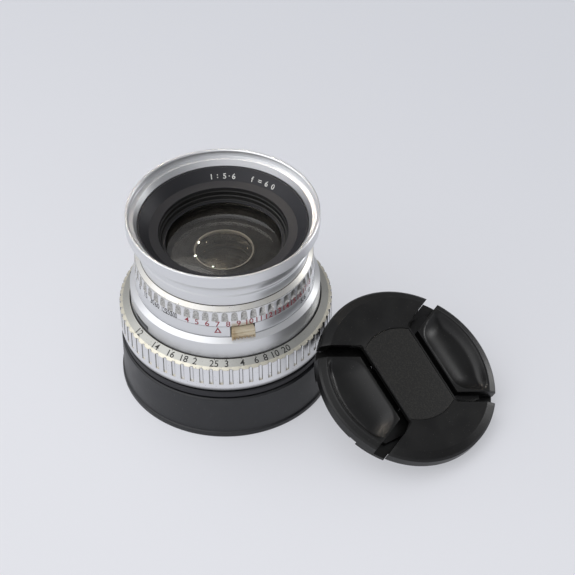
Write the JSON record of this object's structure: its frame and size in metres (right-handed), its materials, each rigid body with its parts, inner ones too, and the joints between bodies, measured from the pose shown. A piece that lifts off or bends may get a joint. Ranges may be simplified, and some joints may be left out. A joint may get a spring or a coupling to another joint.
{
  "type": "leaf shutter camera lens",
  "caption": "Silver wide-angle leaf-shutter camera lens standing on its rear cap, with focusing, aperture and speed rings, and a pinch front cap leaning against it.",
  "frame": {"origin": "centre of the underside of the rear cap, on the surface that the lens stands on", "axes": "+Z along the lens axis towards the front glass; -Y towards the side that carries the index marks; the front cap lies towards +X"},
  "size_m": [0.1398, 0.1037, 0.0763],
  "materials": {
    "black_plastic": "satin",
    "bright_steel": "polished",
    "black_metal": "matte",
    "brass": "turned",
    "satin_chrome": "satin chrome",
    "cream_plastic": "aged cream",
    "black_anodised": "black anodised",
    "lens_glass": "coated",
    "cap_plastic": "satin black",
    "cap_panel": "fine grain",
    "spring_steel": "drawn wire",
    "blade_steel": "blackened"
  },
  "bodies": {
    "mount": {"mount_plate": "bright_steel", "mount_screws": "bright_steel", "fixed_tube": "black_metal", "guide_keys": "brass", "rear_baffle": "black_metal"},
    "focus_ring": {"focus_ring": "satin_chrome"},
    "shutter_unit": {"shutter_housing": "satin_chrome", "shutter_base_plate": "black_metal", "shutter_cover_plate": "black_metal", "shutter_pillars": "brass", "plate_screws": "bright_steel", "iris_cage": "black_metal", "ring_carrier": "black_metal", "front_barrel": "satin_chrome", "name_ring": "black_anodised", "front_cell": "black_anodised", "front_glass": "lens_glass", "front_glass_ring": "black_anodised", "second_glass": "lens_glass", "second_glass_ring": "black_anodised", "third_glass": "lens_glass", "third_glass_ring": "black_anodised", "rear_cell": "black_anodised", "rear_inner_glass": "lens_glass", "rear_glass": "lens_glass", "rear_glass_ring": "black_anodised"},
    "aperture_control": {"aperture_ring": "satin_chrome", "iris_drive_ring": "brass"},
    "interlock_key": {"interlock_key": "cream_plastic"},
    "speed_control": {"speed_ring": "satin_chrome"},
    "sync_control": {"sync_lever": "bright_steel"},
    "shutter_drive": {"shutter_drive_ring": "brass"},
    "cocking_shaft": {"cocking_shaft": "bright_steel"},
    "rear_cap": {"rear_cap": "black_plastic", "rear_cap_socket": "black_plastic"},
    "front_cap": {"front_cap_shell": "cap_plastic", "front_cap_panel": "cap_panel", "front_cap_guide_plate": "cap_plastic", "front_cap_springs": "spring_steel"},
    "front_cap_lever_1": {"front_cap_lever_1": "cap_plastic"},
    "front_cap_lever_2": {"front_cap_lever_2": "cap_plastic"},
    "shutter_blade_1": {"shutter_blade_1": "blade_steel"},
    "iris_blade_1": {"iris_blade_1": "blade_steel"},
    "shutter_blade_2": {"shutter_blade_2": "blade_steel"},
    "iris_blade_2": {"iris_blade_2": "blade_steel"},
    "shutter_blade_3": {"shutter_blade_3": "blade_steel"},
    "iris_blade_3": {"iris_blade_3": "blade_steel"},
    "shutter_blade_4": {"shutter_blade_4": "blade_steel"},
    "iris_blade_4": {"iris_blade_4": "blade_steel"},
    "shutter_blade_5": {"shutter_blade_5": "blade_steel"},
    "iris_blade_5": {"iris_blade_5": "blade_steel"}
  },
  "joints": [
    {"name": "focus_turn", "type": "hinge", "parent": "mount", "child": "focus_ring", "pos_m": [0, 0, 0.0229], "axis": [0, 0, 1], "range_deg": [-70.94, 199.23]},
    {"name": "focus_travel", "type": "slide", "parent": "mount", "child": "shutter_unit", "axis": [0, 0, 1], "range_m": [-0.00185, 0.0052]},
    {"name": "aperture_turn", "type": "hinge", "parent": "shutter_unit", "child": "aperture_control", "pos_m": [0, 0, 0.04515], "axis": [0, 0, 1], "range_deg": [0, 60]},
    {"name": "speed_turn", "type": "hinge", "parent": "shutter_unit", "child": "speed_control", "pos_m": [0, 0, 0.05015], "axis": [0, 0, 1], "range_deg": [-60, 110]},
    {"name": "interlock_press", "type": "slide", "parent": "aperture_control", "child": "interlock_key", "axis": [-0.2011, 0.9796, 0], "range_m": [0, 0.001], "stiffness_N_per_m": 300, "springref_m": -0.001},
    {"name": "sync_slide", "type": "hinge", "parent": "shutter_unit", "child": "sync_control", "pos_m": [0, 0, 0.0364], "axis": [0, 0, 1], "range_deg": [-12, 12]},
    {"name": "shutter_drive_turn", "type": "hinge", "parent": "shutter_unit", "child": "shutter_drive", "pos_m": [0, 0, 0.038], "axis": [0, 0, 1], "range_deg": [0, 30]},
    {"name": "cocking_turn", "type": "hinge", "parent": "mount", "child": "cocking_shaft", "pos_m": [0, -0.0214, 0.0144], "axis": [0, 0, 1], "range_deg": [0, 340]},
    {"name": "rear_cap_twist", "type": "hinge", "parent": "mount", "child": "rear_cap", "pos_m": [0, 0, 0], "axis": [0, 0, 1], "range_deg": [0, 45]},
    {"name": "front_cap_lift", "type": "slide", "parent": "mount", "child": "front_cap", "axis": [0.3455, -0.2748, 0.8973], "range_m": [0, 0.02]},
    {"name": "front_cap_pinch_1", "type": "slide", "parent": "front_cap", "child": "front_cap_lever_1", "axis": [-0.7902, -0.601, 0.1202], "range_m": [0, 0.0018], "stiffness_N_per_m": 250, "springref_m": -0.002, "deforming": ["front_cap_springs"]},
    {"name": "front_cap_pinch_2", "type": "slide", "parent": "front_cap", "child": "front_cap_lever_2", "axis": [0.7902, 0.601, -0.1202], "range_m": [0, 0.0018], "stiffness_N_per_m": 250, "springref_m": -0.002, "deforming": ["front_cap_springs"]},
    {"name": "shutter_blade_1_swing", "type": "hinge", "parent": "shutter_unit", "child": "shutter_blade_1", "pos_m": [0.0185, 0, 0.038], "axis": [0, 0, 1], "range_deg": [0, 46]},
    {"name": "shutter_blade_2_swing", "type": "hinge", "parent": "shutter_unit", "child": "shutter_blade_2", "pos_m": [0.00572, 0.01759, 0.038], "axis": [0, 0, 1], "range_deg": [0, 46]},
    {"name": "shutter_blade_3_swing", "type": "hinge", "parent": "shutter_unit", "child": "shutter_blade_3", "pos_m": [-0.01497, 0.01087, 0.038], "axis": [0, 0, 1], "range_deg": [0, 46]},
    {"name": "shutter_blade_4_swing", "type": "hinge", "parent": "shutter_unit", "child": "shutter_blade_4", "pos_m": [-0.01497, -0.01087, 0.038], "axis": [0, 0, 1], "range_deg": [0, 46]},
    {"name": "shutter_blade_5_swing", "type": "hinge", "parent": "shutter_unit", "child": "shutter_blade_5", "pos_m": [0.00572, -0.01759, 0.038], "axis": [0, 0, 1], "range_deg": [0, 46]},
    {"name": "iris_blade_1_swing", "type": "hinge", "parent": "shutter_unit", "child": "iris_blade_1", "pos_m": [0.01497, 0.01087, 0.0346], "axis": [0, 0, 1], "range_deg": [0, 34]},
    {"name": "iris_blade_2_swing", "type": "hinge", "parent": "shutter_unit", "child": "iris_blade_2", "pos_m": [-0.00572, 0.01759, 0.0346], "axis": [0, 0, 1], "range_deg": [0, 34]},
    {"name": "iris_blade_3_swing", "type": "hinge", "parent": "shutter_unit", "child": "iris_blade_3", "pos_m": [-0.0185, 0, 0.0346], "axis": [0, 0, 1], "range_deg": [0, 34]},
    {"name": "iris_blade_4_swing", "type": "hinge", "parent": "shutter_unit", "child": "iris_blade_4", "pos_m": [-0.00572, -0.01759, 0.0346], "axis": [0, 0, 1], "range_deg": [0, 34]},
    {"name": "iris_blade_5_swing", "type": "hinge", "parent": "shutter_unit", "child": "iris_blade_5", "pos_m": [0.01497, -0.01087, 0.0346], "axis": [0, 0, 1], "range_deg": [0, 34]}
  ],
  "couplings": [
    {"joint": "focus_turn", "follows": "focus_travel", "rad_per_m": 668.42},
    {"joint": "shutter_blade_1_swing", "follows": "shutter_drive_turn", "ratio": 1.5},
    {"joint": "shutter_blade_2_swing", "follows": "shutter_drive_turn", "ratio": 1.5},
    {"joint": "shutter_blade_3_swing", "follows": "shutter_drive_turn", "ratio": 1.5},
    {"joint": "shutter_blade_4_swing", "follows": "shutter_drive_turn", "ratio": 1.5},
    {"joint": "shutter_blade_5_swing", "follows": "shutter_drive_turn", "ratio": 1.5},
    {"joint": "iris_blade_1_swing", "follows": "aperture_turn", "ratio": 0.55},
    {"joint": "iris_blade_2_swing", "follows": "aperture_turn", "ratio": 0.55},
    {"joint": "iris_blade_3_swing", "follows": "aperture_turn", "ratio": 0.55},
    {"joint": "iris_blade_4_swing", "follows": "aperture_turn", "ratio": 0.55},
    {"joint": "iris_blade_5_swing", "follows": "aperture_turn", "ratio": 0.55}
  ]
}
